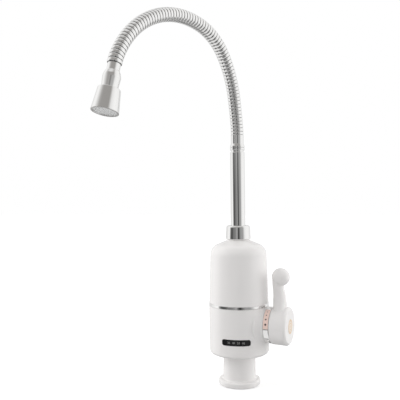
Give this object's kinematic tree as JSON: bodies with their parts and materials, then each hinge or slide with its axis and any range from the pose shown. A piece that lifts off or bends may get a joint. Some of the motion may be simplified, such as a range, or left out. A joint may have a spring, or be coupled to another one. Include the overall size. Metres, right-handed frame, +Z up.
{
  "type": "electric instant water heater tap",
  "caption": "Deck tap that heats water in its round casing, with a side lever, a dial, a display bar and a swivelling flexible gooseneck spout that ends in a flared spray nozzle.",
  "frame": {"origin": "centre of the base flange's underside, at the mouth of the inlet thread", "axes": "+Z up along the tap's axis, +X along the lever's axis away from the casing, -Y to the front"},
  "size_m": [0.1242, 0.2017, 0.3721],
  "materials": {
    "white_plastic": "glossy moulded",
    "chrome": "polished",
    "black_window": "glossy",
    "cap_print": "glossy",
    "rubber": "matt",
    "brass": "turned",
    "steel": "plain",
    "ceramic": "lapped",
    "inner_plastic": "moulded",
    "switch_plastic": "moulded",
    "board": "lacquered",
    "silicone": "translucent",
    "screen_plastic": "satin"
  },
  "bodies": {
    "tap_body": {"mount_base": "white_plastic", "base_gasket": "rubber", "inlet_fitting": "brass", "inlet_strainer": "steel", "neck_nut": "inner_plastic", "lower_casing": "white_plastic", "casing_screws": "steel", "trim_ring": "chrome", "upper_casing": "white_plastic", "display_window": "black_window", "display_board": "board", "valve_body": "inner_plastic", "inlet_o_ring": "rubber", "cartridge_seal": "rubber", "fixed_disc": "ceramic", "cartridge_body": "brass", "cartridge_nut": "brass", "dial_ring": "chrome", "membrane": "rubber", "membrane_cover": "inner_plastic", "microswitch": "switch_plastic", "switch_screws": "steel", "heater_tank": "inner_plastic", "outlet_o_ring": "rubber", "tank_seal": "rubber", "tank_lid": "inner_plastic", "lid_screws": "steel", "heating_coil": "steel", "coil_terminals": "brass", "thermal_cutout": "steel", "terminal_block": "inner_plastic", "cable_gland": "rubber", "spout_nut": "chrome"},
    "lever": {"control_lever": "white_plastic", "lever_screw": "steel", "knob_cap": "cap_print", "valve_stem": "brass", "moving_disc": "ceramic"},
    "pressure_pin": {"press_pin": "inner_plastic"},
    "button": {"switch_button": "switch_plastic"},
    "spout": {"spout_pipe": "chrome", "spout_o_rings": "rubber", "hose_ferrule": "chrome", "water_tube": "silicone", "gooseneck_1": "chrome"},
    "hose_2": {"gooseneck_2": "chrome"},
    "hose_3": {"gooseneck_3": "chrome"},
    "hose_4": {"gooseneck_4": "chrome"},
    "hose_5": {"gooseneck_5": "chrome"},
    "hose_6": {"gooseneck_6": "chrome"},
    "hose_7": {"gooseneck_7": "chrome"},
    "hose_8": {"gooseneck_8": "chrome"},
    "hose_9": {"gooseneck_9": "chrome", "nozzle_adapter": "chrome", "nozzle_shell": "chrome", "nozzle_washer": "rubber", "aerator_core": "screen_plastic", "aerator_screen": "screen_plastic"}
  },
  "joints": [
    {"name": "lever_turn", "type": "hinge", "parent": "tap_body", "child": "lever", "pos_m": [0.046, 0, 0.0635], "axis": [1, 0, 0], "range_deg": [-90, 90]},
    {"name": "pressure_pin_slide", "type": "slide", "parent": "tap_body", "child": "pressure_pin", "axis": [-1, 0, 0], "range_m": [0, 0.001], "stiffness_N_per_m": 500, "deforming": ["membrane"]},
    {"name": "button_slide", "type": "slide", "parent": "tap_body", "child": "button", "axis": [-1, 0, 0], "range_m": [0, 0.001], "stiffness_N_per_m": 200},
    {"name": "spout_swivel", "type": "hinge", "parent": "tap_body", "child": "spout", "pos_m": [0, 0, 0.152], "axis": [0, 0, 1], "continuous": true},
    {"name": "gooseneck_bend_1", "type": "hinge", "parent": "spout", "child": "hose_2", "pos_m": [-0.00095, -0.00261, 0.28706], "axis": [0.9397, -0.342, 0], "range_deg": [-10, 5], "deforming": ["water_tube"]},
    {"name": "gooseneck_bend_2", "type": "hinge", "parent": "hose_2", "child": "hose_3", "pos_m": [-0.00298, -0.0082, 0.31461], "axis": [0.9397, -0.342, 0], "range_deg": [-10, 5]},
    {"name": "gooseneck_bend_3", "type": "hinge", "parent": "hose_3", "child": "hose_4", "pos_m": [-0.00726, -0.01993, 0.33983], "axis": [0.9397, -0.342, 0], "range_deg": [-10, 5]},
    {"name": "gooseneck_bend_4", "type": "hinge", "parent": "hose_4", "child": "hose_5", "pos_m": [-0.01447, -0.03975, 0.35816], "axis": [0.9397, -0.342, 0], "range_deg": [-10, 5]},
    {"name": "gooseneck_bend_5", "type": "hinge", "parent": "hose_5", "child": "hose_6", "pos_m": [-0.02375, -0.06525, 0.36526], "axis": [0.9397, -0.342, 0], "range_deg": [-10, 5]},
    {"name": "gooseneck_bend_6", "type": "hinge", "parent": "hose_6", "child": "hose_7", "pos_m": [-0.03332, -0.09156, 0.36282], "axis": [0.9397, -0.342, 0], "range_deg": [-10, 5]},
    {"name": "gooseneck_bend_7", "type": "hinge", "parent": "hose_7", "child": "hose_8", "pos_m": [-0.04211, -0.1157, 0.35146], "axis": [0.9397, -0.342, 0], "range_deg": [-10, 5]},
    {"name": "gooseneck_bend_8", "type": "hinge", "parent": "hose_8", "child": "hose_9", "pos_m": [-0.04917, -0.13509, 0.33238], "axis": [0.9397, -0.342, 0], "range_deg": [-10, 5]}
  ],
  "couplings": [
    {"joint": "button_slide", "follows": "pressure_pin_slide", "ratio": 1},
    {"joint": "gooseneck_bend_2", "follows": "gooseneck_bend_1", "ratio": 1},
    {"joint": "gooseneck_bend_3", "follows": "gooseneck_bend_1", "ratio": 1},
    {"joint": "gooseneck_bend_4", "follows": "gooseneck_bend_1", "ratio": 1},
    {"joint": "gooseneck_bend_5", "follows": "gooseneck_bend_1", "ratio": 1},
    {"joint": "gooseneck_bend_6", "follows": "gooseneck_bend_1", "ratio": 1},
    {"joint": "gooseneck_bend_7", "follows": "gooseneck_bend_1", "ratio": 1},
    {"joint": "gooseneck_bend_8", "follows": "gooseneck_bend_1", "ratio": 1}
  ]
}
